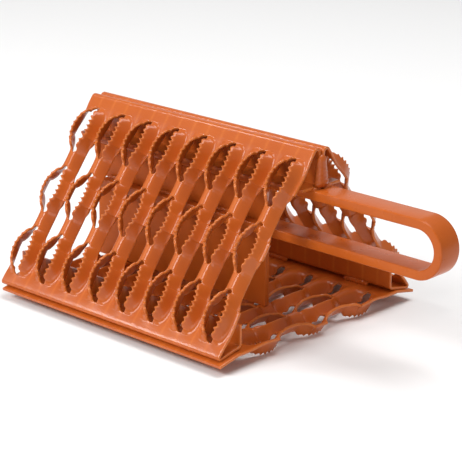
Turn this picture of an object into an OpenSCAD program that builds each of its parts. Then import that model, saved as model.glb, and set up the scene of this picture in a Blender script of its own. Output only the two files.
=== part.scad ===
// Wheel chock welded from three formed grating sheets, a flat-bar loop handle
// and two upright plates in its middle. X runs along the chock, the handle leaves at +X,
// Z is up, and the origin is on the ground under the middle of the whole thing.
// Inside the modules X starts at the front sheet's end and Z at the base edges.

/* [Grating sheets] */
// Thickness of the grating sheets
sheet_t = 2.3; // [1.6:0.1:3]
// Distance between neighbouring columns of toothed slots
col_pitch = 31.75; // [30:0.25:34]
// Distance between neighbouring rows of slots, up the slope
row_pitch = 57.15; // [56:0.05:58]
// Length of a toothed slot
slot_l = 44.45; // [42:0.05:46]
// Length of a smooth slot, which lies between the rows
gap_l = 42; // [40:0.5:43]
// Number of columns of toothed slots
cols = 8; // [6:1:8]
// Distance from a sheet's end to its first column
first_col = 13.5; // [12:0.5:15]
// How far the toothed rims stand out of the sheet
rim_out = 11.2; // [7:0.1:12]
// Half the opening between two toothed rims
rim_open = 8; // [4:0.1:9]
// How far the web between two toothed slots stands out
web_out = 4.6; // [3:0.1:5]
// How far the web between two smooth slots stands out
valley_out = 2.3; // [1:0.1:3]
// How far the sheet dips in beside the outer rows
valley_dip = 1.2; // [0:0.1:2]
// How far the smooth rims stand in
blade_in = 3.6; // [0:0.1:4]
// Half the opening between two smooth rims
blade_open = 6.4; // [3:0.1:7]

/* [Body] */
// Distance from the middle to the sharp lower corner of a sloping sheet
toe_y = 118.5; // [117:0.1:119]
// Height of the sharp upper corner of a sloping sheet
apex_z = 157.4; // [155:0.1:160]
// Distance up the slope from its lower corner to the middle of its slots
field_up = 94; // [93:0.1:95]
// Width of the base sheet
base_w = 234.5; // [234:0.5:240]
// Width of the base sheet's turned-down margins
margin_w = 20; // [18:0.5:22]
// Height of the base sheet's underside over its edges
base_rise = 4.2; // [3.5:0.1:5]
// Distance from the middle to the lower lips
lip_y = 89; // [88:0.5:90]
// Height of the lower lips' top edge
lip_z = 27; // [20:0.5:30]
// Width of the upper lips
top_lip = 21; // [18:0.5:22]
// How far the back sheet is shifted along X
back_shift = 2; // [1:0.5:3]
// How far the base sheet is shifted along X
base_shift = 4.5; // [4:0.5:6]

/* [Handle] */
// Thickness of the handle's flat bar
bar_t = 7.9; // [6:0.1:10]
// Width of the handle's flat bar
bar_w = 22.4; // [20:0.1:26]
// Height of the top of the handle's upper leg
handle_top = 116.3; // [112:0.1:118]
// Height of the handle's loop, outside
loop_h = 47.9; // [44:0.1:52]
// Where the loop's outer end lies along X
handle_end = 378.5; // [340:0.5:400]
// Where the handle's legs start along X
leg_start = 12; // [5:1:30]

/* [Upright plates] */
// Thickness of the two upright plates
plate_t = 4.8; // [3:0.1:8]
// Where the upright plates start along X
plate_start = 0.5; // [0:0.5:20]
// Where the upright plates end along X
plate_end = 197; // [170:1:210]

/* [Welds] */
// Leg of the small fillet welds
fillet = 3.5; // [2:0.5:4]
// Length of one stitch of weld
stitch_l = 26; // [15:1:30]
// Radius of the upright weld at each end of the crest
seam_r = 4.5; // [3:0.5:5]

/* [Hidden] */

paint = [0.80, 0.34, 0.15];
paint_shaded = [0.70, 0.28, 0.12];
weld_paint = [0.74, 0.32, 0.15];

sheet_l = first_col + (cols - 0.5) * col_pitch;
tooth_drop = rim_out - base_rise;
leg_under = handle_top - loop_h;
leg_over = leg_under + bar_t;
plate_z = base_rise - valley_out + sheet_t;
seam_start = back_shift - seam_r;
last_line = 2 * cols;
fade = 5.5;
rise_power = 0.35;
open_power = 0.85;
gap_power = 0.75;
off_field = 1000;

margin_angle = atan(base_rise / margin_w);
flange_slope = base_rise / margin_w;
sheet_gap = 0.1;
weld_gap = 0.2;
stitch_inset = 4;
stitches = 3;
bulge = 0.7;
plate_weld_step = 2 * col_pitch;
base_weld_step = 90;
first_base_weld = 20;
tack_leg = 2.5;
toe_z = sheet_t / cos(margin_angle) + (base_w / 2 - toe_y) * flange_slope + sheet_gap;
lip_corner_z = toe_z + (toe_y - lip_y) * flange_slope;
face_angle = atan2(apex_z - toe_z, toe_y);
crest_r = 4.4;
toe_r = 2.6;
lip_r = 3.8;

slot_end = slot_l / 2;
web_end = row_pitch - slot_l / 2;
gap_start = (row_pitch - gap_l) / 2;
gap_end = (row_pitch + gap_l) / 2;
field_end = row_pitch + slot_l / 2;
faded = field_end + fade;

// Distances from the middle of the field at which one half of it is drawn
half_field = [
    0, gap_start / 2, gap_start,
    (2 * gap_start + slot_end) / 3, (gap_start + 2 * slot_end) / 3, slot_end,
    row_pitch / 2, web_end,
    (2 * web_end + gap_end) / 3, (web_end + 2 * gap_end) / 3, gap_end,
    (gap_end + row_pitch) / 2, row_pitch,
    for (k = [1:4]) row_pitch + k * slot_end / 4,
    faded
];
half_count = len(half_field);
field = [
    for (k = [half_count - 1:-1:1]) -half_field[k],
    for (k = [0:half_count - 1]) half_field[k]
];

// A blunt arch over a slot's length, from 0 at its ends to 1
function arch(t, power) = abs(t) < 1 ? pow(1 - t * t, power) : 0;

function along_slot(d) = (d > row_pitch / 2 ? d - row_pitch : d) / slot_end;
function slot_rise(d) = arch(along_slot(d), rise_power);
function slot_opening(d) = arch(along_slot(d), open_power);
function gap_arch(d) = arch((d - row_pitch / 2) * 2 / gap_l, gap_power);

// Levels of the sheet's outer face on the toothed lines and the smooth lines
function web_level(d) =
    d < web_end ? web_out : d < field_end ? web_out * (field_end - d) / slot_l : 0;
function slot_level(d) = web_level(d) * (1 - slot_rise(d)) + rim_out * slot_rise(d);
function valley_level(d) =
    d < gap_start ? valley_out
    : d < gap_end ? valley_out * (gap_end - d) / gap_l
    : d < faded ? -valley_dip * sin(180 * (d - gap_end) / (faded - gap_end))
    : 0;
function gap_level(d) = valley_level(d) * (1 - gap_arch(d)) - blade_in * gap_arch(d);

// The slot lines of a sheet: line 0 is its end, odd lines are toothed
function toothed(line) = line % 2 == 1;
function line_x(line) = line == 0 ? 0 : first_col + (line - 1) * col_pitch / 2;
function is_split(line, d) =
    toothed(line) ? slot_opening(d) > 0 : line > 0 && line < last_line && gap_arch(d) > 0;
function rim_x(line, d, side) =
    line == 0 ? max(0, first_col - col_pitch / 2 + blade_open * gap_arch(d))
    : line_x(line) + side * (toothed(line) ? rim_open * slot_opening(d)
        : blade_open * gap_arch(d));
function rim_level(line, d) = toothed(line) ? slot_level(d) : gap_level(d);

function heading(a) = [cos(a), sin(a)];
function outward(a) = [sin(a), -cos(a)];

// A bend of the sheet's outer face round a sharp corner, and a plain fold
function bend(corner, r, a0, a1, steps) =
    let (centre = corner - r * tan((a1 - a0) / 2) * heading(a0) - r * outward(a0))
    [for (k = [0:steps]) let (a = a0 + (a1 - a0) * k / steps)
        [centre + r * outward(a), outward(a), off_field]];
function fold(corner, a0, a1) =
    [[corner, outward((a0 + a1) / 2) / cos((a1 - a0) / 2), off_field]];
function end_of(p, a) = [[p, outward(a), off_field]];
function field_path(middle, a) =
    [for (s = field) [middle + s * heading(a), outward(a), s]];

// Cross-sections of the sheets in the YZ plane, with the outer face on the right
lip_bend = bend([-lip_y, lip_corner_z], lip_r, 360 + margin_angle, 450, 3);
slope_path = concat(
    end_of([-top_lip, handle_top], 0),
    bend([0, handle_top], lip_r, 0, 90, 3),
    bend([0, apex_z], crest_r, 90, 180 + face_angle, 6),
    field_path([-toe_y, toe_z] + field_up * heading(face_angle), 180 + face_angle),
    bend([-toe_y, toe_z], toe_r, 180 + face_angle, 360 + margin_angle, 6),
    lip_bend,
    end_of([-lip_y, lip_z], 450)
);
base_path = concat(
    end_of([-base_w / 2, 0], margin_angle),
    fold([margin_w - base_w / 2, base_rise], margin_angle, 0),
    field_path([0, base_rise], 0),
    fold([base_w / 2 - margin_w, base_rise], 0, -margin_angle),
    end_of([base_w / 2, 0], -margin_angle)
);

// One formed sheet along a cross-section, slit and opened on every slot line
module grating(path) {
    last = len(path) - 1;
    function dist(k) = abs(path[k][2]);
    function split_at(k, line) = is_split(line, dist(k));
    function copy_side(k, line, copy) =
        line == 0 ? 1 : line == last_line ? -1 : split_at(k, line) ? 2 * copy - 1 : 0;
    function corner(k, line, copy, face) =
        let (p = path[k][0] + path[k][1] * (rim_level(line, dist(k)) - face * sheet_t))
        [rim_x(line, dist(k), copy_side(k, line, copy)), p[0], p[1]];
    // The index of a corner, seen from the strip on that side of the line
    function id(k, line, side, face) =
        ((k * (last_line + 1) + line) * 2 + (side > 0 && split_at(k, line) ? 1 : 0)) * 2 + face;
    function quad(a, b, c, d) = [[a, b, c], [a, c, d]];
    function skin(k, i, f) = quad(id(k, i, 1, f), id(k, i + 1, -1, f),
        id(k + 1, i + 1, -1, f), id(k + 1, i, 1, f));
    function turned(tris) = [for (t = tris) [t[2], t[1], t[0]]];
    function wall(k, line, side) = quad(id(k, line, side, 0), id(k, line, side, 1),
        id(k + 1, line, side, 1), id(k + 1, line, side, 0));
    function cap(k, i) = quad(id(k, i, 1, 0), id(k, i + 1, -1, 0),
        id(k, i + 1, -1, 1), id(k, i, 1, 1));
    function open_at(k, line) = split_at(k, line) || split_at(k + 1, line);

    points = [for (k = [0:last], line = [0:last_line], copy = [0, 1], face = [0, 1])
        corner(k, line, copy, face)];
    skins = [for (k = [0:last - 1], i = [0:last_line - 1])
        each concat(skin(k, i, 0), turned(skin(k, i, 1)))];
    slot_walls = [for (k = [0:last - 1], line = [1:last_line - 1]) if (open_at(k, line))
        each concat(wall(k, line, -1), turned(wall(k, line, 1)))];
    end_walls = [for (k = [0:last - 1])
        each concat(wall(k, last_line, -1), turned(wall(k, 0, 1)))];
    caps = [for (i = [0:last_line - 1]) each concat(turned(cap(0, i)), cap(last, i))];
    polyhedron(points, concat(skins, slot_walls, end_walls, caps), convexity = 10);
}

// A fillet weld along X in the corner at the origin, between +Y and +Z faces
module fillet_weld(l, leg = fillet)
    rotate([90, 0, 90]) linear_extrude(l)
        polygon([[0, 0], [leg, 0], [leg * bulge, leg * bulge], [0, leg]]);

module in_frame()
    translate([-(seam_start + handle_end) / 2, 0, tooth_drop]) children();

module front_grating()
    color(paint) in_frame() grating(slope_path);

module back_grating()
    color(paint) in_frame() translate([sheet_l + back_shift, 0, 0]) rotate([0, 0, 180])
        grating(slope_path);

module base_grating()
    color(paint_shaded) in_frame() translate([base_shift, 0, 0]) grating(base_path);

// The bent bar: two legs joined by a half ring
module handle() {
    loop_r = loop_h / 2;
    loop_x = handle_end - loop_r;
    color(paint) in_frame() translate([0, bar_w / 2, handle_top - loop_r]) rotate([90, 0, 0]) {
        linear_extrude(bar_w) union() {
            intersection() {
                translate([loop_x, 0]) difference() {
                    circle(loop_r, $fn = 96);
                    circle(loop_r - bar_t, $fn = 96);
                }
                translate([loop_x, -loop_r]) square([loop_r, loop_h]);
            }
            for (y = [-loop_r, loop_r - bar_t])
                translate([leg_start, y]) square([loop_x - leg_start, bar_t]);
        }
    }
}

// An upright plate in the middle of the chock, between two heights
module upright_plate(low, high)
    color(paint_shaded) in_frame()
        translate([plate_start, -plate_t / 2, low])
            cube([plate_end - plate_start, plate_t, high - low]);

module centre_plate() upright_plate(plate_z, leg_under);

module leg_plate() upright_plate(leg_over, handle_top - bar_t);

// Half discs that join the two crest flanges at both of their ends
module crest_welds() {
    seam_low = handle_top + lip_r;
    seam_high = apex_z - 4 * crest_r;
    color(weld_paint) in_frame() {
        difference() {
            translate([sheet_l, 0, seam_low])
                cylinder(r = seam_r, h = seam_high - seam_low, $fn = 48);
            translate([sheet_l - 2 * seam_r, -2 * seam_r, 0])
                cube([2 * seam_r, 4 * seam_r, apex_z]);
            translate([sheet_l - seam_r, 0, 0]) cube([seam_r + back_shift, sheet_t, apex_z]);
        }
        difference() {
            translate([back_shift, 0, seam_low])
                cylinder(r = seam_r, h = seam_high - seam_low, $fn = 48);
            translate([back_shift, -2 * seam_r, 0]) cube([2 * seam_r, 4 * seam_r, apex_z]);
            translate([0, -sheet_t, 0]) cube([back_shift + seam_r, sheet_t, apex_z]);
        }
    }
}

// Fillets between the upper lips and the handle's upper leg: across the leg's
// top at the lips' ends, and stitches under the lips along the leg's sides
module handle_welds() {
    across_l = bar_w / 2 - 2 * weld_gap;
    color(weld_paint) in_frame() {
        for (end = [[sheet_l, -across_l - weld_gap], [sheet_l + back_shift, weld_gap]])
            translate([end[0], end[1], handle_top]) mirror([0, 1, 0]) rotate([0, 0, -90])
                fillet_weld(across_l, sheet_t);
        for (x = [leg_start + stitch_inset, sheet_l - stitch_l - stitch_inset], s = [0, 1])
            mirror([0, s, 0]) translate([x, -bar_w / 2, handle_top]) rotate([180, 0, 0])
                fillet_weld(stitch_l);
    }
}

// Stitches along the plates: under and over the handle's lower leg, and on the base
module plate_welds() {
    color(weld_paint) in_frame() {
        for (k = [0:stitches - 1], s = [0, 1]) mirror([0, s, 0])
            translate([leg_start + stitch_inset + k * plate_weld_step, plate_t / 2, leg_over])
                fillet_weld(stitch_l);
        for (k = [0:stitches - 1], s = [0, 1]) mirror([0, s, 0])
            translate([leg_start + stitch_inset + k * plate_weld_step, plate_t / 2, leg_under])
                mirror([0, 0, 1]) fillet_weld(stitch_l);
        for (k = [0:stitches - 1], s = [0, 1]) mirror([0, s, 0])
            translate([base_shift + line_x(2) + k * plate_weld_step - tack_leg / 2,
                plate_t / 2, plate_z]) fillet_weld(tack_leg, tack_leg);
    }
}

// Stitches between the base sheet and the rounded corners of the lower lips
module base_welds() {
    low = lip_bend[1][0];
    high = lip_bend[2][0];
    base_top = base_rise + sheet_t;
    color(weld_paint) in_frame() for (k = [0:stitches - 1], s = [0, 1]) mirror([0, s, 0])
        translate([base_shift + first_base_weld + k * base_weld_step, 0, 0])
            rotate([90, 0, 90]) linear_extrude(stitch_l)
                polygon([[low[0], base_top], [high[0] + fillet, base_top], high, low]);
}

front_grating();
back_grating();
base_grating();
handle();
centre_plate();
leg_plate();
crest_welds();
handle_welds();
plate_welds();
base_welds();
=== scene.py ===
"""Looks for a welded grating wheel chock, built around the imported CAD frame.

Lengths below are in millimetres. Inside a sheet, x runs along the sheet from its
left end, and "level" is how far its outer face stands out of the flat margins.
"""

import math

import bmesh
import bpy
import numpy as np
from mathutils import Matrix, Vector


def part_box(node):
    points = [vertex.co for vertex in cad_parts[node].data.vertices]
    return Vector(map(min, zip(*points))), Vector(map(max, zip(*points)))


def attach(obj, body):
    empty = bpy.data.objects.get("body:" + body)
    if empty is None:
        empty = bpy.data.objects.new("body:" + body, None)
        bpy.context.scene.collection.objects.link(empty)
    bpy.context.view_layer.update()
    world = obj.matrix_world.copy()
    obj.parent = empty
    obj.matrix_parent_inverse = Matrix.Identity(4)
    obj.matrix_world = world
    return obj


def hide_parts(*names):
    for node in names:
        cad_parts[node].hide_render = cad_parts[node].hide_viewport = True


MM = 0.001

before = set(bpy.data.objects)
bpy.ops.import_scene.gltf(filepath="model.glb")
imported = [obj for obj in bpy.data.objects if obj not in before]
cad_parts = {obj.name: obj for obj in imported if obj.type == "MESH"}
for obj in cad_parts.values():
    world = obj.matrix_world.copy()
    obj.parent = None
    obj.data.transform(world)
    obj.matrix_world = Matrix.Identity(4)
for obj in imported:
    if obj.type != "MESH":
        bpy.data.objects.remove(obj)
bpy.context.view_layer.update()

# ---------------------------------------------------------------- sheet sizes
# Lines run down a sheet, half a pitch apart. Each odd line carries three toothed slots,
# and each even line two smooth gaps. Strips of metal lie between the lines.
SHEET_T = 2.2
CAD_SHEET_T = 2.3
HALF_PITCH = 31.75 / 2
FIRST_COL = 13.5
LINES = 16
ROW_PITCH = 57.15
SLOT_END = 44.45 / 2
GAP_START = 7.575
GAP_END = 49.575
GAP_HALF = (GAP_END - GAP_START) / 2
WEB_END = ROW_PITCH - SLOT_END
FIELD_END = ROW_PITCH + SLOT_END
FADED = FIELD_END + 5.5

# How far the rims are pushed out of the sheet, and how far they stand apart
RIM_OUT = 11.2
RIM_OPEN = 8.8
WEB_OUT = 4.6
VALLEY_OUT = 2.3
VALLEY_DIP = 1.2
BLADE_IN = 3.6
BLADE_OPEN = 6.4

# The ends of a slot: a flat stretch with a blunt hole, from which the rims rise
HOLE_R = 3.7
HOLE_BLUNT = 2.8
RISE_END = SLOT_END - 3.8
OPEN_END = SLOT_END - 2.4

# Powers of the arches that the rims follow. A lower one rises more steeply at its ends
RISE_POWER = 0.38
OPEN_POWER = 0.72
STRAND_POWER = 0.6
GAP_LEVEL_POWER = 0.68
GAP_OPEN_POWER = 0.5
GAP_STEEP_POWER = 0.75

# A strip's section: how steeply it leaves a rim or a gap, and how much of a web is flat
RIM_STEEP = 1.25
GAP_STEEP = 1.1
PLATEAU = 0.2

TOOTH_PITCH = 4.65
TOOTH_H = 1.7
TOOTH_SPAN = 17.4
TOOTH_POWER = 0.85
TOOTH_FADE = 1.2

# The mesh: bevels at cut edges, points across a strip, steps along the sheet, and the
# angles in degrees above which an edge stays sharp
BEVEL = 0.35
ACROSS = 8
STATION_STEP = 0.9
PLAIN_STEP = 3.0
BAR_SHARP = 40
SHEET_SHARP = 52
BEAD_SHARP = 75
# The share of the paler rim colour on a cut edge, and beside it. It is partly thinner paint there and
# partly a painted highlight where the edges catch the light
EDGE_THIN_COAT_AND_HIGHLIGHT = 1.0
BEVEL_THIN_COAT_AND_HIGHLIGHT = 0.6

# --------------------------------------------------------------- bent sections
# Corners are given before they are rounded, and z is measured from the base's long edges.
# DROP then lifts everything onto the base's toothed rims
TOE_Y = 118.5
APEX_Z = 157.4
FIELD_UP = 94.0
BASE_W = 234.5
MARGIN_W = 20.0
BASE_RISE = 4.2
LIP_Y = 89.0
LIP_Z = 27.0
TOP_LIP = 21.0
HANDLE_TOP = 116.3
CREST_R = 4.4
TOE_R = 2.6
LIP_R = 3.8
FOLD_R = 6.0
BAR_T = 7.9
MARGIN_SLOPE = BASE_RISE / MARGIN_W
MARGIN_ANGLE = math.atan(MARGIN_SLOPE)
TOE_Z = CAD_SHEET_T / math.cos(MARGIN_ANGLE) + (BASE_W / 2 - TOE_Y) * MARGIN_SLOPE + 0.1
LIP_CORNER_Z = TOE_Z + (TOE_Y - LIP_Y) * MARGIN_SLOPE
FACE_ANGLE = math.atan2(APEX_Z - TOE_Z, TOE_Y)
DROP = RIM_OUT - BASE_RISE


# ------------------------------------------------------------- formed levels
def arch(t, power):
    """From 0 at t = -1 up to 1 at t = 0, and down to 0 at t = 1."""
    return np.power(np.clip(1 - t * t, 0, 1), power)


def ease(t):
    """A smooth step from 0 to 1."""
    t = np.clip(t, 0, 1)
    return t * t * (3 - 2 * t)


def row_offset(d):
    """Signed distance from the middle of the nearest row of toothed slots."""
    return np.where(d > ROW_PITCH / 2, d - ROW_PITCH, d)


def slot_rise(d):
    """How far the rims have risen along a slot, from 0 at its end holes to 1."""
    return arch(row_offset(d) / RISE_END, RISE_POWER)


def slot_open(d):
    """How far a toothed slot has opened, from 0 to 1."""
    return arch(row_offset(d) / OPEN_END, OPEN_POWER)


def soft_rise(d):
    """The rise of the strand beside a slot, which follows its rims more smoothly."""
    return ease(arch(row_offset(d) / SLOT_END, STRAND_POWER))


def gap_arch(d, power):
    """How far a smooth gap has formed, from 0 at its ends to 1."""
    return arch((d - ROW_PITCH / 2) / GAP_HALF, power)


def hole_half(d):
    """Half the width of the blunt hole at each end of a slot."""
    inset = SLOT_END - np.abs(row_offset(d))
    past = np.abs(inset / HOLE_R - 1) ** HOLE_BLUNT
    return HOLE_R * np.power(np.clip(1 - past, 0, None), 1 / HOLE_BLUNT)


def tooth_bite(d):
    """How deep the notches between the teeth are cut."""
    r = np.abs(row_offset(d))
    wave = np.abs(np.cos(math.pi * r / TOOTH_PITCH))
    return TOOTH_H * np.power(wave, TOOTH_POWER) * ease((TOOTH_SPAN - r) / TOOTH_FADE + 0.5)


def web_level(d):
    """The closed webs stand out between the rows, and fade into the flat margins."""
    return WEB_OUT * (1 - ease((d - WEB_END) / (FIELD_END - WEB_END)))


def slot_level(d, rise):
    """The level along a toothed line: a web where the rise is 0, a full rim where it is 1."""
    return web_level(d) * (1 - rise) + RIM_OUT * rise


def valley_level(d):
    """The level between two gaps: raised inside the field, and dipped just outside it."""
    inner = VALLEY_OUT * (1 - ease((d - GAP_START) / (GAP_END - GAP_START)))
    outer = -VALLEY_DIP * np.sin(math.pi * np.clip((d - GAP_END) / (FADED - GAP_END), 0, 1)) ** 2
    return np.where(d < GAP_END, inner, outer)


def gap_level(d):
    """The level along a gap line, where the blades fall below the margins."""
    fall = gap_arch(d, GAP_LEVEL_POWER)
    return valley_level(d) * (1 - fall) - BLADE_IN * fall


# ------------------------------------------------------------ cross-sections
def heading(a):
    """The direction of travel in the section's plane at angle a."""
    return np.array([math.cos(a), math.sin(a)])


def outward(a):
    """The outer side of a sheet that is travelling at angle a."""
    return np.array([math.sin(a), -math.cos(a)])


# The distance given to stations that lie outside the field of slots
OFF_FIELD = 1000.0


def bend(corner, r, a0, a1, steps):
    """A round bend that replaces a sharp corner between two headings."""
    r = r if a1 > a0 else -r
    centre = np.array(corner) - r * math.tan((a1 - a0) / 2) * heading(a0) - r * outward(a0)
    out = []
    for k in range(steps + 1):
        a = a0 + (a1 - a0) * k / steps
        out.append((centre + r * outward(a), outward(a), OFF_FIELD))
    return out


def field_distances():
    """Distances from the field's middle, with a station at each slot end and tooth."""
    exact = [0.0, GAP_START, SLOT_END, WEB_END, GAP_END, FIELD_END, FADED, ROW_PITCH]
    soft = []
    closest = 0.1
    insets = (0.1, 0.4, 1.0, 2.0, 2.4, 3.2, 3.7, 4.4, 5.2)
    for e in insets:
        soft += [SLOT_END - e, WEB_END + e, FIELD_END - e, GAP_START + e, GAP_END - e]
    for k in range(4):
        tip = (k + 0.5) * TOOTH_PITCH
        soft += [tip, ROW_PITCH - tip, ROW_PITCH + tip]
    marks = sorted(exact)
    for s in sorted(soft):
        if min(abs(s - m) for m in marks) > closest:
            marks.append(s)
    marks.sort()
    half = [0.0]
    for a, b in zip(marks, marks[1:]):
        n = max(1, math.ceil((b - a) / STATION_STEP))
        half += [a + (b - a) * (j + 1) / n for j in range(n)]
    return [-d for d in reversed(half[1:])] + half


def field_path(middle, a):
    """The flat stretch of a section that carries the slots."""
    return [(middle + s * heading(a), outward(a), s) for s in field_distances()]


def filled(path):
    """Adds stations where two neighbours lie far apart."""
    out = [path[0]]
    for a, b in zip(path, path[1:]):
        gap = np.linalg.norm(b[0] - a[0])
        n = max(1, math.ceil(gap / PLAIN_STEP))
        for j in range(1, n):
            t = j / n
            normal = a[1] * (1 - t) + b[1] * t
            out.append((a[0] * (1 - t) + b[0] * t, normal / np.linalg.norm(normal), OFF_FIELD))
        out.append(b)
    return out


def slope_path():
    """From the upper lip, up the middle and over the crest, down the face, and in at the toe."""
    face, margin = math.pi + FACE_ANGLE, 2 * math.pi + MARGIN_ANGLE
    path = [(np.array([-TOP_LIP, HANDLE_TOP]), outward(0), OFF_FIELD)]
    path += bend([0, HANDLE_TOP], LIP_R, 0, math.pi / 2, 6)
    path += bend([0, APEX_Z], CREST_R, math.pi / 2, face, 12)
    path += field_path(np.array([-TOE_Y, TOE_Z]) + FIELD_UP * heading(FACE_ANGLE), face)
    path += bend([-TOE_Y, TOE_Z], TOE_R, face, margin, 10)
    path += bend([-LIP_Y, LIP_CORNER_Z], LIP_R, margin, 2.5 * math.pi, 6)
    path.append((np.array([-LIP_Y, LIP_Z]), outward(2.5 * math.pi), OFF_FIELD))
    return filled(path)


def base_path():
    """Across the base, with its two long margins turned down."""
    path = [(np.array([-BASE_W / 2, 0.0]), outward(MARGIN_ANGLE), OFF_FIELD)]
    path += bend([MARGIN_W - BASE_W / 2, BASE_RISE], FOLD_R, MARGIN_ANGLE, 0, 4)
    path += field_path(np.array([0.0, BASE_RISE]), 0)
    path += bend([BASE_W / 2 - MARGIN_W, BASE_RISE], FOLD_R, 0, -MARGIN_ANGLE, 4)
    path.append((np.array([BASE_W / 2, 0.0]), outward(-MARGIN_ANGLE), OFF_FIELD))
    return filled(path)


# ------------------------------------------------------------ sheet geometry
def unit(v):
    return v / np.maximum(np.linalg.norm(v, axis=-1, keepdims=True), 1e-12)


def build_strips(path):
    """The outer face of each strip of metal, as (points, normals), and where lines are cut.

    The first axis runs along the path and the second across the strip, from left to right.
    """
    origin = np.array([p[0] for p in path])
    normal = np.array([p[1] for p in path])
    d = np.abs(np.array([p[2] for p in path]))
    a_half = RIM_OPEN * slot_open(d)
    b_half = BLADE_OPEN * gap_arch(d, GAP_OPEN_POWER)
    run = HALF_PITCH - b_half - a_half
    a_level, b_level = slot_level(d, slot_rise(d)), gap_level(d)
    strand_level = slot_level(d, soft_rise(d))
    # How steeply the surface leaves each line: flat across a web, sloping at a rim
    a_steep, b_steep = soft_rise(d), ease(gap_arch(d, GAP_STEEP_POWER))
    a_slope, b_slope = RIM_STEEP * a_steep, GAP_STEEP * b_steep
    a_flat, b_flat = PLATEAU * (1 - a_steep), PLATEAU * (1 - b_steep)

    def surface(line_x, side, v):
        """Points of the outer face on one side of a toothed line, for v from 0 to 1."""
        away = a_half[:, None] + run[:, None] * v
        w = np.clip((v - a_flat[:, None]) / (1 - a_flat - b_flat)[:, None], 0, 1)
        fall = ((w ** 3 - 2 * w ** 2 + w) * a_slope[:, None] + (3 * w ** 2 - 2 * w ** 3)
                + (w ** 3 - w ** 2) * b_slope[:, None])
        lift = (a_level - strand_level)[:, None] * (1 - v) ** 3
        level = strand_level[:, None] + (b_level - strand_level)[:, None] * fall + lift
        yz = origin[:, None, :] + normal[:, None, :] * level[..., None]
        return np.stack([line_x + side * away, yz[..., 0], yz[..., 1]], axis=-1)

    a_split = hole_half(d) + slot_open(d) > 1e-9
    b_split = gap_arch(d, GAP_OPEN_POWER) > 1e-9
    length = np.hypot(run, b_level - a_level)
    v_start = (np.maximum(hole_half(d), a_half) - a_half) / run + tooth_bite(d) * a_split / length
    facing = np.concatenate([np.zeros((len(path), 1)), normal], axis=1)[:, None, :]
    strips = []
    for i in range(LINES):
        a_line = i if i % 2 else i + 1
        side = 1 if i % 2 else -1
        # The first strip ends at the sheet's own end, short of a line
        v_end = np.minimum(1, (FIRST_COL - a_half) / run) if i == 0 else np.ones(len(path))
        v = v_start[:, None] + (v_end - v_start)[:, None] * np.linspace(0, 1, ACROSS + 1)
        pts = surface(FIRST_COL + (a_line - 1) * HALF_PITCH, side, v)
        n = unit(np.cross(np.gradient(pts, axis=0), np.gradient(pts, axis=1)))
        n *= np.sign(np.sum(n * facing, axis=-1, keepdims=True))
        if side < 0:
            pts, n = pts[:, ::-1], n[:, ::-1]
        strips.append((pts, n))
    uncut = np.ones(len(path), bool)
    split_of = [uncut] + [a_split if line % 2 else b_split for line in range(1, LINES)] + [uncut]
    return strips, split_of


class Points:
    """Vertices collected so far, each with its share of the paler rim colour, which is partly thinner
    paint and partly a painted highlight.
    """

    def __init__(self):
        self.rows, self.thin_coat_and_highlight = [], []

    def add(self, points, thin_coat_and_highlight):
        """Adds an array of points, and returns their numbers in the same arrangement."""
        start, row = len(self.thin_coat_and_highlight), points.reshape(-1, 3)
        self.rows.append(row)
        self.thin_coat_and_highlight += [thin_coat_and_highlight] * len(row)
        return start + np.arange(len(row)).reshape(points.shape[:-1])


def edge_chain(points, strip, side, split, shared):
    """Four vertices around a strip's edge at each station: bevel, edge, edge, bevel."""
    pts, n = strip
    column, inner_column = (-1, -2) if side == 0 else (0, 1)
    rim, normal = pts[:, column], n[:, column]
    across = unit(pts[:, inner_column] - rim)
    along = unit(np.gradient(rim, axis=0))
    inward = unit(across - along * np.sum(across * along, axis=1, keepdims=True))
    if shared is not None:
        normal = np.where(split[:, None], normal, shared)
    back = rim + inward * np.where(split, BEVEL, 0)[:, None]
    # The edge and its bevels get the paler rim colour: thinner paint, plus a painted highlight
    chain = ((back, BEVEL_THIN_COAT_AND_HIGHLIGHT), (rim - normal * BEVEL, EDGE_THIN_COAT_AND_HIGHLIGHT),
             (rim - normal * (SHEET_T - BEVEL), EDGE_THIN_COAT_AND_HIGHLIGHT), (back - normal * SHEET_T, BEVEL_THIN_COAT_AND_HIGHLIGHT))
    return np.stack([points.add(spot, thin_coat_and_highlight) for spot, thin_coat_and_highlight in chain], axis=1)


def edge_vertices(points, strips, split_of):
    """The edge chains at each line, where side 0 belongs to the strip on its left."""
    edge_ids = {}
    for line, split in enumerate(split_of):
        shared = None
        if 0 < line < LINES:
            shared = unit(strips[line - 1][1][:, -1] + strips[line][1][:, 0])
        for side, strip in ((0, line - 1), (1, line)):
            if 0 <= strip < LINES:
                edge_ids[line, side] = edge_chain(points, strips[strip], side, split, shared)
        # Where the line is closed, both strips use one set of vertices
        if shared is not None:
            edge_ids[line, 1] = np.where(split[:, None], edge_ids[line, 1], edge_ids[line, 0])
    return edge_ids


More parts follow.
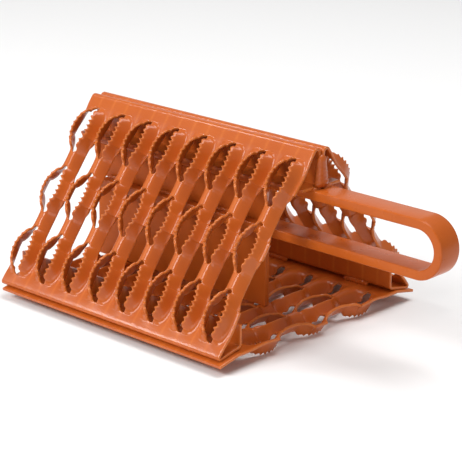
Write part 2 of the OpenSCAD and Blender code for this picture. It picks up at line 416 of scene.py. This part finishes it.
def sheet_faces(points, strips, split_of, edge_ids):
    """The faces of both sides of the sheet, its two ends and every cut edge."""
    faces = []

    def quads(a, b, c, d):
        faces.extend(np.stack([a, b, c, d], axis=-1).reshape(-1, 4).tolist())

    for i, (pts, n) in enumerate(strips):
        left, right = edge_ids[i, 1], edge_ids[i + 1, 0]
        mid = pts[:, 1:-1]
        outer = np.concatenate([left[:, :1], points.add(mid, 0.0), right[:, :1]], axis=1)
        under = points.add(mid - n[:, 1:-1] * SHEET_T, 0.0)
        inner = np.concatenate([left[:, 3:], under, right[:, 3:]], axis=1)
        quads(outer[:-1, :-1], outer[:-1, 1:], outer[1:, 1:], outer[1:, :-1])
        quads(inner[:-1, :-1], inner[1:, :-1], inner[1:, 1:], inner[:-1, 1:])
        for k, flip in ((0, False), (len(pts) - 1, True)):
            for j in range(ACROSS):
                loop = [outer[k, j], outer[k, j + 1], inner[k, j + 1], inner[k, j]]
                if i == 0 and j == 0:
                    loop += [left[k, 2], left[k, 1]]
                if i == LINES - 1 and j == ACROSS - 1:
                    loop[2:2] = [right[k, 1], right[k, 2]]
                faces.append([int(v) for v in (loop[::-1] if flip else loop)])
    for (line, side), ids in edge_ids.items():
        split = split_of[line]
        k = np.nonzero(split[:-1] | split[1:])[0]
        for c in range(3):
            a, b, e, f = ids[k, c], ids[k + 1, c], ids[k + 1, c + 1], ids[k, c + 1]
            quads(*((a, b, e, f) if side == 0 else (a, f, e, b)))
    return faces


def build_sheet(name, path, place):
    """One formed sheet as a closed mesh. place maps (x, y, z) in mm to the row frame."""
    strips, split_of = build_strips(path)
    points = Points()
    edge_ids = edge_vertices(points, strips, split_of)
    faces = sheet_faces(points, strips, split_of, edge_ids)
    used = np.zeros(len(points.thin_coat_and_highlight), bool)
    for face in faces:
        used[face] = True
    renumber = np.cumsum(used) - 1
    world = place(np.concatenate(points.rows)[used]) * MM
    mesh = bpy.data.meshes.new(name)
    mesh.from_pydata(world.tolist(), [], [renumber[face].tolist() for face in faces])
    # The share of the paler rim colour: thinner paint, plus a painted highlight on the cut edges
    attribute = mesh.attributes.new("rim", "FLOAT", "POINT")
    attribute.data.foreach_set("value", np.array(points.thin_coat_and_highlight, np.float32)[used])
    return finish_mesh(name, mesh, SHEET_SHARP)


def finish_mesh(name, mesh, sharp_degrees):
    """An object with outward normals, smooth but for edges sharper than the angle."""
    bm = bmesh.new()
    bm.from_mesh(mesh)
    bmesh.ops.recalc_face_normals(bm, faces=bm.faces)
    bm.to_mesh(mesh)
    bm.free()
    mesh.polygons.foreach_set("use_smooth", [True] * len(mesh.polygons))
    mesh.set_sharp_from_angle(angle=math.radians(sharp_degrees))
    mesh.update()
    obj = bpy.data.objects.new(name, mesh)
    bpy.context.scene.collection.objects.link(obj)
    return obj


def low(node):
    """The low corner of a CAD node's box, in mm."""
    return np.array(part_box(node)[0]) / MM


def high(node):
    """The high corner of a CAD node's box, in mm."""
    return np.array(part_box(node)[1]) / MM


# The sheets' ends in the row frame, taken from the CAD nodes
FRONT_X = low("front_grating")[0]
BACK_X = high("back_grating")[0]
BASE_X = low("base_grating")[0]


def place_front(p):
    return p + np.array([FRONT_X, 0, DROP])


def place_back(p):
    """The back sheet is the front one turned half around the upright axis."""
    return p * np.array([-1, -1, 1]) + np.array([BACK_X, 0, DROP])


def place_base(p):
    return p + np.array([BASE_X, 0, DROP])


# ---------------------------------------------------------------- swept bars
def sweep(name, rings, sharp=BAR_SHARP):
    """Joins rings of equal size into one closed mesh with capped ends."""
    rings = [np.array(r) for r in rings]
    n = len(rings[0])
    verts = np.concatenate(rings) * MM
    faces = []
    for k in range(len(rings) - 1):
        for j in range(n):
            a, b = k * n + j, k * n + (j + 1) % n
            faces.append([a, b, b + n, a + n])
    faces.append(list(range(n))[::-1])
    faces.append([(len(rings) - 1) * n + j for j in range(n)])
    mesh = bpy.data.meshes.new(name)
    mesh.from_pydata(verts.tolist(), [], faces)
    return finish_mesh(name, mesh, sharp)


def rounded_outline(w, h, r, steps=4):
    """A rectangle with round corners, centred on the origin."""
    out = []
    for cx, cy, a0 in ((1, 1, 0), (-1, 1, 90), (-1, -1, 180), (1, -1, 270)):
        for k in range(steps + 1):
            a = math.radians(a0 + 90 * k / steps)
            out.append((cx * (w / 2 - r) + r * math.cos(a), cy * (h / 2 - r) + r * math.sin(a)))
    return out


def build_handle():
    """The bent flat bar: along the upper leg, around the loop and back, with eased edges."""
    lo, hi = low("handle"), high("handle")
    bar_w, loop_r = hi[1] - lo[1], (hi[2] - lo[2]) / 2
    centre_z, mid_r = (hi[2] + lo[2]) / 2, loop_r - BAR_T / 2
    start, loop_x = lo[0], hi[0] - loop_r
    edge_r, ease_in = 1.1, 0.6
    leg_steps, loop_steps = 12, 48

    full = rounded_outline(bar_w, BAR_T, edge_r)
    eased_w, eased_t = bar_w - 2 * ease_in, BAR_T - 2 * ease_in
    eased = rounded_outline(eased_w, eased_t, edge_r)
    grown = [(u * bar_w / eased_w, v * BAR_T / eased_t) for u, v in eased]

    def ring(x, z, a, outline):
        return [(x + v * math.sin(a), u, z + v * math.cos(a)) for u, v in outline]

    leg = [start + (loop_x - start) * k / leg_steps for k in range(1, leg_steps + 1)]
    upper, lower = centre_z + mid_r, centre_z - mid_r
    rings = [ring(start, upper, 0.0, eased), ring(start + ease_in, upper, 0.0, grown)]
    rings += [ring(x, upper, 0.0, full) for x in leg]
    for k in range(1, loop_steps):
        a = math.pi * k / loop_steps
        rings.append(ring(loop_x + mid_r * math.sin(a), centre_z + mid_r * math.cos(a), a, full))
    rings += [ring(x, lower, math.pi, full) for x in reversed(leg)]
    rings += [ring(start + ease_in, lower, math.pi, grown), ring(start, lower, math.pi, eased)]
    return sweep("handle_bar", rings)


def build_plate(name, node):
    """A flat plate the size of its CAD node, with eased edges."""
    lo, hi = low(node), high(node)
    w, h = hi[1] - lo[1], hi[2] - lo[2]
    centre_z, ease_in = (hi[2] + lo[2]) / 2, 0.5
    rings = []
    for x, shrink in ((lo[0], ease_in), (lo[0] + ease_in, 0), (hi[0] - ease_in, 0), (hi[0], ease_in)):
        outline = rounded_outline(w - 2 * shrink, h - 2 * shrink, 0.6, 2)
        rings.append([(x, u, centre_z + v) for u, v in outline])
    return sweep(name, rings)


# --------------------------------------------------------------- weld beads
rng = np.random.default_rng(7)


def bead(start, end, radius, squash=(1.0, 1.0), ripple=2.1, rough=0.10, lump=1.0, flare=0.0):
    """A weld bead with overlapping ripples, along a straight line. It may flare at its start."""
    start, end = np.array(start, float), np.array(end, float)
    axis = unit(end - start)
    up = np.array([0, 0, 1.0]) if abs(axis[2]) < 0.9 else np.array([0, 1.0, 0])
    side = unit(np.cross(up, axis))
    up = np.cross(axis, side)
    length = np.linalg.norm(end - start)
    steps, sides = int(length / 0.35) + 8, 20
    phase = rng.uniform(0, 1)
    wander = rng.uniform(0, 6, 4)
    rings = []
    for k in range(steps + 1):
        s = length * k / steps
        e = min(s, length - s) / radius
        taper = math.sqrt(max(0.02, 1 - (1 - min(1, e)) ** 2))
        wave = 1 - ((s / ripple + phase) % 1)
        width = 1 + lump * (0.06 * math.sin(s * 0.7 + wander[0])
                            + 0.04 * math.sin(s * 1.9 + wander[1]))
        r = radius * taper * width * (1 + rough * wave) * (1 + flare * (1 - s / length) ** 2)
        ring = []
        for j in range(sides):
            a = 2 * math.pi * j / sides
            # The ripples are crescents, so the bead's middle runs ahead of its edges
            shift = 0.9 * lump * math.cos(a - math.pi / 2) * taper
            ring.append(start + axis * min(max(s + shift - 0.45, 0), length)
                        + side * math.cos(a) * r * squash[0] + up * math.sin(a) * r * squash[1])
        rings.append(ring)
    return sweep("bead", rings, BEAD_SHARP)


def joined(name, parts):
    """One object from several bead objects."""
    bm = bmesh.new()
    for part in parts:
        old = part.data
        bm.from_mesh(old)
        bpy.data.objects.remove(part)
        bpy.data.meshes.remove(old)
    mesh = bpy.data.meshes.new(name)
    bm.to_mesh(mesh)
    bm.free()
    return finish_mesh(name, mesh, BEAD_SHARP)


STITCH_L = 26.0
FRONT_END = high("front_grating")[0]
BACK_START, BACK_END = low("back_grating")[0], high("back_grating")[0]
LEG_START = low("handle")[0]


def crest_beads():
    """One broad, flared fill at the right end and a plain bead at the left end."""
    seam_low, seam_high = low("crest_welds")[2], high("crest_welds")[2]
    right_x, left_x = FRONT_END + 0.4, BACK_START - 0.2
    right = bead((right_x, 0, seam_low - 3), (right_x, 0, seam_high + 4), 4.6,
                 squash=(0.7, 1.0), ripple=3.4, rough=0.01, lump=0.3, flare=0.7)
    left = bead((left_x, 0, seam_low + 2), (left_x, 0, seam_high), 2.2)
    return joined("crest_beads", [right, left])


def handle_beads():
    """Short beads across the upper lips' ends, and stitches along the bar's upper edges."""
    top, bar_half = HANDLE_TOP + DROP, high("handle")[1]
    front_x, back_x = FRONT_END + 0.3, BACK_END + 0.3
    beads = [bead((front_x, -bar_half + 1, top), (front_x, -0.5, top), 1.9),
             bead((back_x, 0.5, top), (back_x, bar_half - 1, top), 2.1)]
    for x in (LEG_START + 4, FRONT_END - 4 - STITCH_L):
        for side in (-1, 1):
            y = side * (bar_half + 0.6)
            beads.append(bead((x, y, top - 0.8), (x + STITCH_L, y, top - 0.8), 2.2))
    return joined("handle_beads", beads)


def plate_beads():
    """Stitches along both sides of the plates, under and over the lower leg and at the base."""
    under, over, foot_z = low("handle")[2], low("leg_plate")[2], low("centre_plate")[2]
    plate_half = high("centre_plate")[1]
    apart, foot_half = 4 * HALF_PITCH, 2.6
    beads = []
    for k in range(3):
        x = LEG_START + 4 + k * apart
        foot = BASE_X + FIRST_COL + HALF_PITCH + k * apart
        for side in (-1, 1):
            y = side * (plate_half + 0.5)
            beads.append(bead((x, y, under - 0.6), (x + STITCH_L, y, under - 0.6), 2.1))
            beads.append(bead((x, y, over + 0.6), (x + STITCH_L, y, over + 0.6), 2.1))
            beads.append(bead((foot - foot_half, y, foot_z + 0.2),
                              (foot + foot_half, y, foot_z + 0.2), 1.7))
    return joined("plate_beads", beads)


def base_beads():
    """Stitches between the base and the lower lips."""
    z = BASE_RISE + CAD_SHEET_T + DROP + 1.1
    first, apart = 20.0, 90.0
    beads = []
    for k in range(3):
        x = BASE_X + first + k * apart
        for side in (-1, 1):
            y = side * (LIP_Y + 0.4)
            beads.append(bead((x, y, z), (x + STITCH_L, y, z), 2.3))
    return joined("base_beads", beads)


# ---------------------------------------------------------------- materials
ORANGE = (0.50, 0.108, 0.014, 1)
ORANGE_DARK = (0.46, 0.092, 0.012, 1)
# The paler rim orange: thinner paint, plus a painted highlight on the cut edges
ORANGE_THIN_COAT_AND_HIGHLIGHT = (0.66, 0.19, 0.035, 1)


def powder_coat(name, roughness, peel, sag=0.35, coat=0.35, level=0.22):
    """Glossy powder coat: orange peel, small colour drift, and paler rims. The rims are partly
    thinner paint and partly a painted highlight where the edges catch the light.

    peel and sag are the strengths of the fine and the broad bumps. coat and level are the
    weight of the clear layer and the specular level below it.
    """
    mat = bpy.data.materials.new(name)
    mat.use_nodes = True
    tree = mat.node_tree
    tree.nodes.clear()

    def node(kind, **values):
        made = tree.nodes.new(kind)
        for key, value in values.items():
            if key.startswith("in_"):
                made.inputs[key[3:].replace("_", " ")].default_value = value
            else:
                setattr(made, key, value)
        return made

    link = tree.links.new

    out = node("ShaderNodeOutputMaterial")
    shader = node("ShaderNodeBsdfPrincipled", in_Metallic=0.0, in_IOR=1.5, in_Coat_Weight=coat,
                  in_Coat_Roughness=0.13, in_Specular_IOR_Level=level)
    link(shader.outputs[0], out.inputs[0])
    coords = node("ShaderNodeTexCoord")
    where = coords.outputs["Object"]

    drift = node("ShaderNodeTexNoise", in_Scale=28.0, in_Detail=4.0, in_Roughness=0.55)
    link(where, drift.inputs["Vector"])
    ramp = node("ShaderNodeValToRGB")
    ramp.color_ramp.elements[0].position = 0.32
    ramp.color_ramp.elements[0].color = ORANGE_DARK
    ramp.color_ramp.elements[1].position = 0.68
    ramp.color_ramp.elements[1].color = ORANGE
    link(drift.outputs["Fac"], ramp.inputs["Fac"])

    # Paler rims: partly thinner paint, partly a painted highlight where the cut edges catch the light
    rim = node("ShaderNodeAttribute", attribute_name="rim")
    patchy = node("ShaderNodeTexNoise", in_Scale=420.0, in_Detail=2.0)
    link(where, patchy.inputs["Vector"])
    rim_thin_coat_and_highlight = node("ShaderNodeMath", operation="MULTIPLY")
    link(rim.outputs["Fac"], rim_thin_coat_and_highlight.inputs[0])
    link(patchy.outputs["Fac"], rim_thin_coat_and_highlight.inputs[1])
    tint = node("ShaderNodeMix", data_type="RGBA")
    link(rim_thin_coat_and_highlight.outputs[0], tint.inputs["Factor"])
    link(ramp.outputs["Color"], tint.inputs[6])
    tint.inputs[7].default_value = ORANGE_THIN_COAT_AND_HIGHLIGHT
    link(tint.outputs[2], shader.inputs["Base Color"])

    gloss = node("ShaderNodeMapRange", in_To_Min=roughness - 0.06, in_To_Max=roughness + 0.10)
    smear = node("ShaderNodeTexNoise", in_Scale=60.0, in_Detail=5.0)
    link(where, smear.inputs["Vector"])
    link(smear.outputs["Fac"], gloss.inputs["Value"])
    link(gloss.outputs["Result"], shader.inputs["Roughness"])

    fine = node("ShaderNodeTexNoise", in_Scale=650.0, in_Detail=2.0, in_Roughness=0.4)
    broad = node("ShaderNodeTexNoise", in_Scale=95.0, in_Detail=2.0)
    link(where, fine.inputs["Vector"])
    link(where, broad.inputs["Vector"])
    peel_bump = node("ShaderNodeBump", in_Strength=peel, in_Distance=0.00012)
    link(fine.outputs["Fac"], peel_bump.inputs["Height"])
    sag_bump = node("ShaderNodeBump", in_Strength=sag, in_Distance=0.0006)
    link(broad.outputs["Fac"], sag_bump.inputs["Height"])
    link(peel_bump.outputs["Normal"], sag_bump.inputs["Normal"])
    link(sag_bump.outputs["Normal"], shader.inputs["Normal"])
    link(sag_bump.outputs["Normal"], shader.inputs["Coat Normal"])
    return mat


grating_paint = powder_coat("grating_paint", 0.30, 0.30)
bar_paint = powder_coat("bar_paint", 0.27, 0.25, coat=0.14, level=0.15)
# The plates inside get a duller finish
plate_paint = powder_coat("plate_paint", 0.42, 0.35, coat=0.05, level=0.10)
weld_paint = powder_coat("weld_paint", 0.34, 0.45, sag=0.85)

# ------------------------------------------------------------------- pieces
slope = slope_path()
pieces = [
    (build_sheet("front_sheet", slope, place_front), "front_grating", "grating_paint", grating_paint),
    (build_sheet("back_sheet", slope, place_back), "back_grating", "grating_paint", grating_paint),
    (build_sheet("base_sheet", base_path(), place_base), "base_grating", "grating_paint",
     grating_paint),
    (build_handle(), "handle", "bar_paint", bar_paint),
    (build_plate("upright_plate", "centre_plate"), "centre_plate", "bar_paint", plate_paint),
    (build_plate("upper_plate", "leg_plate"), "leg_plate", "bar_paint", plate_paint),
    (crest_beads(), "crest_welds", "weld_paint", weld_paint),
    (handle_beads(), "handle_welds", "weld_paint", weld_paint),
    (plate_beads(), "plate_welds", "weld_paint", weld_paint),
    (base_beads(), "base_welds", "weld_paint", weld_paint),
]
for obj, node_name, slot_name, material in pieces:
    obj.data.materials.append(material)
    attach(obj, "root")
    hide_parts(node_name)

# -------------------------------------------------------------------- stage
FLOOR_REACH = 6.0
floor_corners = [(FLOOR_REACH * sx, FLOOR_REACH * sy, 0)
                 for sx, sy in ((-1, -1), (1, -1), (1, 1), (-1, 1))]
floor_mesh = bpy.data.meshes.new("floor")
floor_mesh.from_pydata(floor_corners, [], [[0, 1, 2, 3]])
floor = bpy.data.objects.new("floor", floor_mesh)
bpy.context.scene.collection.objects.link(floor)
floor_paint = bpy.data.materials.new("floor_paint")
floor_paint.use_nodes = True
floor_shader = floor_paint.node_tree.nodes["Principled BSDF"]
floor_shader.inputs["Base Color"].default_value = (0.86, 0.86, 0.86, 1)
floor_shader.inputs["Roughness"].default_value = 0.9
floor_mesh.materials.append(floor_paint)

world = bpy.data.worlds.new("studio")
bpy.context.scene.world = world
world.use_nodes = True
background = world.node_tree.nodes["Background"]
background.inputs["Color"].default_value = (1.0, 0.99, 0.98, 1)
background.inputs["Strength"].default_value = 0.30
bpy.context.scene.view_settings.view_transform = "Standard"


def area_light(name, position, target, size, power):
    """A soft light panel that faces its target. Its size is in metres and its power in watts."""
    data = bpy.data.lights.new(name, "AREA")
    data.shape = "RECTANGLE"
    data.size, data.size_y = size
    data.energy = power
    obj = bpy.data.objects.new(name, data)
    bpy.context.scene.collection.objects.link(obj)
    obj.location = position
    obj.rotation_euler = (Vector(target) - Vector(position)).to_track_quat("-Z", "Y").to_euler()
    return obj


area_light("key_light", (-0.5, -1.9, 1.7), (0, 0, 0.06), (0.9, 0.9), 35)
area_light("top_light", (0.2, 0.5, 2.3), (0, 0, 0.05), (1.4, 1.4), 37)
area_light("right_light", (1.6, -1.5, 0.5), (0, 0, 0.08), (0.8, 0.8), 6)
area_light("low_left_light", (-1.5, -1.42, 1.0), (0, 0, 0.03), (0.34, 0.34), 7)
area_light("high_left_light", (-1.42, -0.5, 1.72), (0, 0, 0.1), (0.3, 0.3), 5)
area_light("back_left_light", (-1.6, 1.3, 0.75), (0.1, 0, 0.1), (1.6, 0.9), 2.2)

# ------------------------------------------------------------------- camera
camera_data = bpy.data.cameras.new("camera")
camera_data.lens = 146.08  # mm, on a 36 mm wide sensor
camera_data.sensor_width = 36.0
camera = bpy.data.objects.new("camera", camera_data)
bpy.context.scene.collection.objects.link(camera)
DISTANCE = 1.53722
TARGET = Vector((-0.03148, 0.0, 0.05896 + DROP * MM))
AZIMUTH, ELEVATION, ROLL = math.radians(42.997), math.radians(18.307), math.radians(-0.262)
away = Vector((math.cos(ELEVATION) * math.sin(AZIMUTH), -math.cos(ELEVATION) * math.cos(AZIMUTH),
               math.sin(ELEVATION)))
aim = (-away).to_track_quat("-Z", "Y").to_matrix().to_4x4()
camera.matrix_world = (Matrix.Translation(TARGET + DISTANCE * away) @ aim
                       @ Matrix.Rotation(-ROLL, 4, "Z"))
bpy.context.scene.camera = camera
